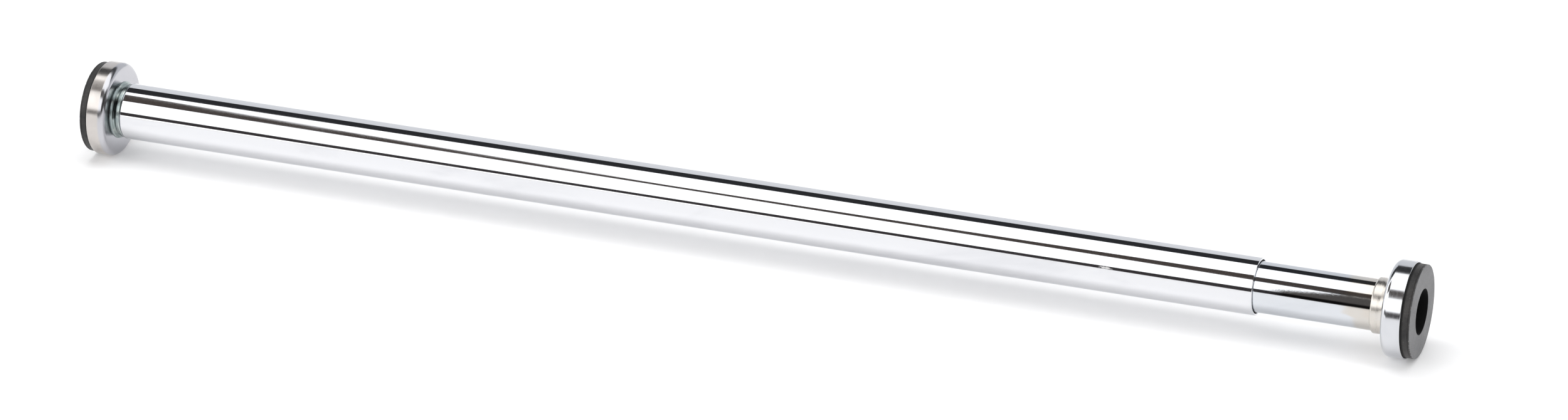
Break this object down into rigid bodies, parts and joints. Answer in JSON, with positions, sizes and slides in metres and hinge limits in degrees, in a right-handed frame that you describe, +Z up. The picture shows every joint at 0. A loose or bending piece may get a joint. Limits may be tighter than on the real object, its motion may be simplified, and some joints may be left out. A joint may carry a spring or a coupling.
{
  "type": "telescopic doorway pull-up bar",
  "caption": "Chromed telescopic bar that is twisted to lengthen and wedge between door posts, with a rubber pad in a round steel cup at each end.",
  "frame": {"origin": "centre of the left pad's outer face, on the bar's axis", "axes": "+X along the bar from the left foot (outer tube) to the right foot (inner tube), +Z up with the bar level as in use, +Y away from the user"},
  "size_m": [0.6854, 0.047, 0.047],
  "materials": {
    "tube_chrome": "polished",
    "inner_chrome": "polished, straw heat tint by the weld",
    "left_cup_chrome": "satin side, polished back",
    "right_cup_chrome": "polished",
    "pad_rubber": "moulded, matt",
    "zinc_plate": "zinc plated, turned",
    "screw_steel": "rolled, oiled",
    "plug_steel": "turned",
    "fastener_steel": "bright zinc",
    "bush_bronze": "sintered",
    "guide_nylon": "natural nylon"
  },
  "bodies": {
    "left_foot": {"left_cup": "left_cup_chrome", "left_pad": "pad_rubber", "swivel_stub": "zinc_plate", "thrust_washer": "zinc_plate", "retainer_washer": "fastener_steel", "retaining_clip": "fastener_steel"},
    "turning_tube": {"outer_tube": "tube_chrome", "swivel_bush": "bush_bronze", "screw_plug": "plug_steel", "drive_screw": "screw_steel", "cross_pin": "fastener_steel", "stop_washer": "fastener_steel", "stop_bolt": "fastener_steel"},
    "sliding_tube": {"inner_tube": "inner_chrome", "screw_nut": "plug_steel", "nut_rivets": "fastener_steel", "rear_guide": "guide_nylon", "front_guide": "guide_nylon", "right_cup": "right_cup_chrome", "right_pad": "pad_rubber"}
  },
  "joints": [
    {"name": "tube_turn", "type": "hinge", "parent": "left_foot", "child": "turning_tube", "pos_m": [0.0176, 0, 0], "axis": [1, 0, 0], "range_deg": [-18900, 3240]},
    {"name": "extension", "type": "slide", "parent": "left_foot", "child": "sliding_tube", "axis": [1, 0, 0], "range_m": [-0.054, 0.315]}
  ],
  "couplings": [
    {"joint": "extension", "follows": "tube_turn", "m_per_rad": -0.00095493}
  ]
}
